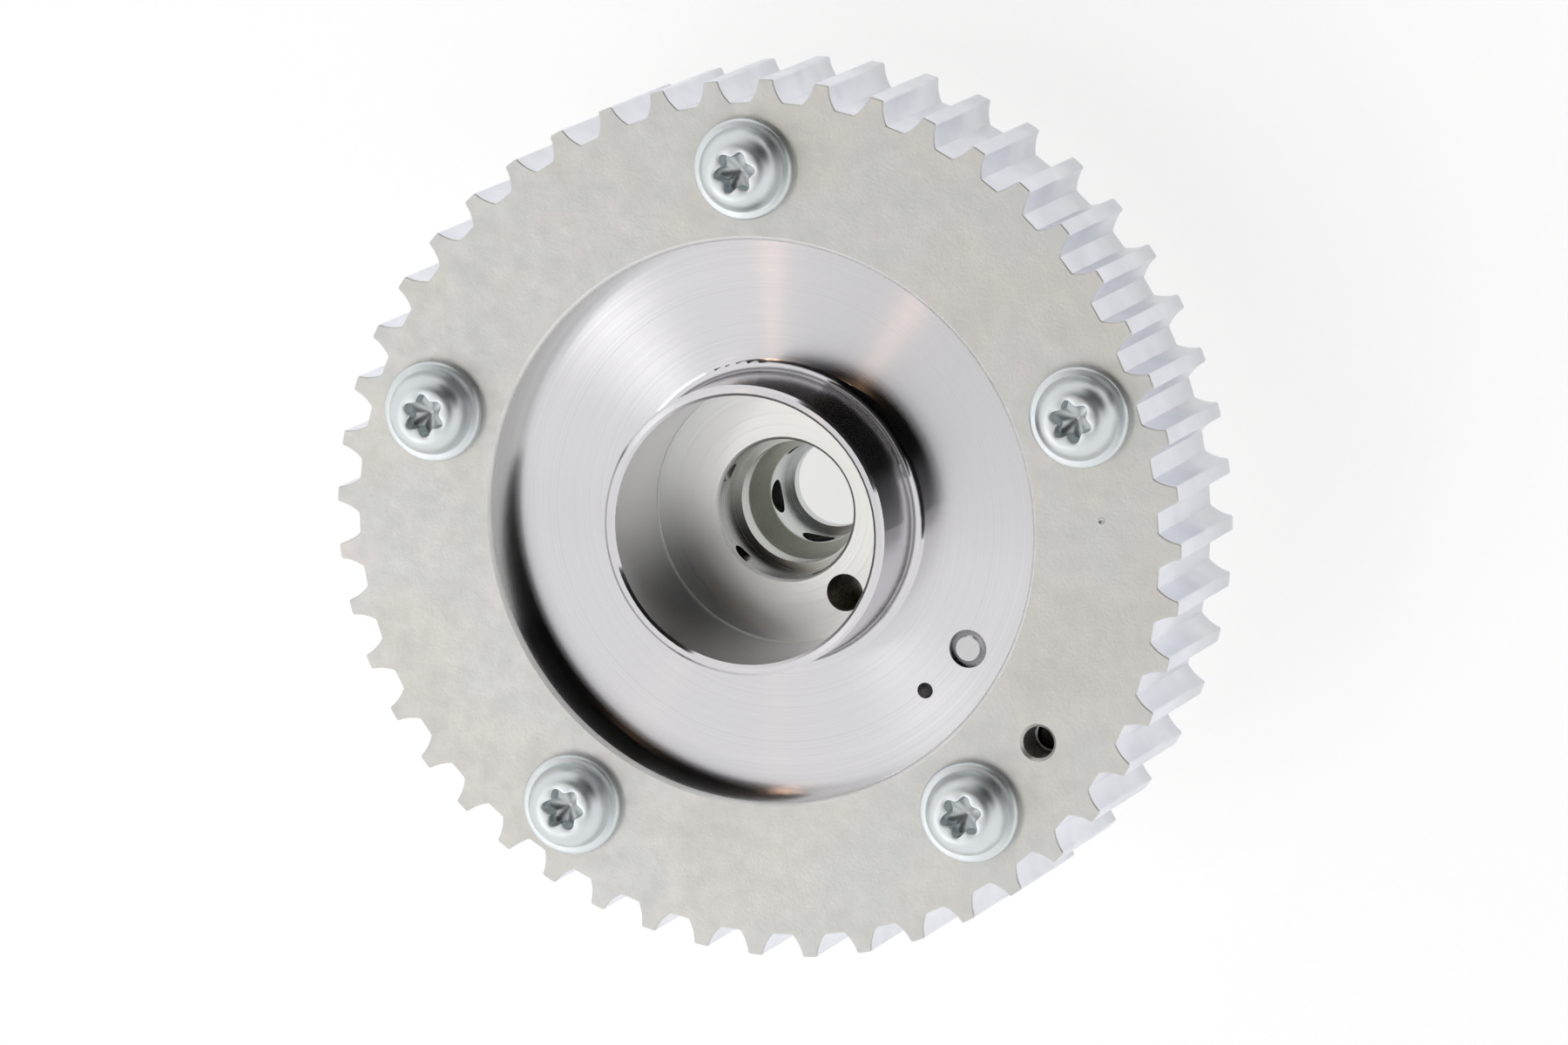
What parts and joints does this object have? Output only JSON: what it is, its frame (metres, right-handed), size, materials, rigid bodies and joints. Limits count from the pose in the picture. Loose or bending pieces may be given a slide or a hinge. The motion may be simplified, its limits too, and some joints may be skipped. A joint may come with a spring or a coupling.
{
  "type": "camshaft timing belt pulley",
  "caption": "Toothed camshaft belt pulley with a tri-oval outline, a built-in hydraulic vane phase adjuster and a rear seal journal round its bolt bore.",
  "frame": {"origin": "centre of the front collar's end face, on which the part stands, on the pulley's axis", "axes": "+Z along the axis from the engine's front towards the camshaft, +Y through the first clamp screw, +X completes the right hand"},
  "size_m": [0.1208, 0.121, 0.051],
  "materials": {
    "sintered_steel": "matte sintered",
    "polished_steel": "fine turned and polished",
    "stator_steel": "matte sintered",
    "rotor_steel": "ground",
    "plate_steel": "turned",
    "cover_steel": "turned",
    "hardened_steel": "ground",
    "spring_steel": "blued",
    "zinc_screws": "blue passivated zinc",
    "seal_polymer": "moulded",
    "rubber": "moulded"
  },
  "bodies": {
    "housing": {"toothed_pulley": "sintered_steel", "rear_cover": "polished_steel", "lock_seat": "hardened_steel", "locating_dowel": "hardened_steel", "stator": "stator_steel", "front_plate": "plate_steel", "spring_post": "hardened_steel", "return_spring": "spring_steel", "front_cover": "cover_steel", "snap_ring": "spring_steel", "rear_seal_ring": "rubber", "front_seal_ring": "rubber", "clamp_screws": "zinc_screws"},
    "rotor": {"rotor": "rotor_steel", "lock_spring": "spring_steel", "lock_spring_cap": "hardened_steel", "vane_seal_1": "seal_polymer", "vane_seal_2": "seal_polymer", "vane_seal_3": "seal_polymer", "vane_seal_4": "seal_polymer", "vane_seal_5": "seal_polymer", "seal_spring_1": "spring_steel", "seal_spring_2": "spring_steel", "seal_spring_3": "spring_steel", "seal_spring_4": "spring_steel", "seal_spring_5": "spring_steel"},
    "lock_pin": {"lock_pin": "hardened_steel"}
  },
  "joints": [
    {"name": "phase", "type": "hinge", "parent": "housing", "child": "rotor", "pos_m": [0, 0, 0.0249], "axis": [0, 0, 1], "range_deg": [0, 22], "stiffness_Nm_per_rad": 1, "springref_deg": -57.3, "deforming": ["return_spring"]},
    {"name": "lock_pin_slide", "type": "slide", "parent": "rotor", "child": "lock_pin", "axis": [0, 0, -1], "range_m": [0, 0.0015], "stiffness_N_per_m": 1500, "springref_m": -0.004, "deforming": ["lock_spring"]}
  ]
}
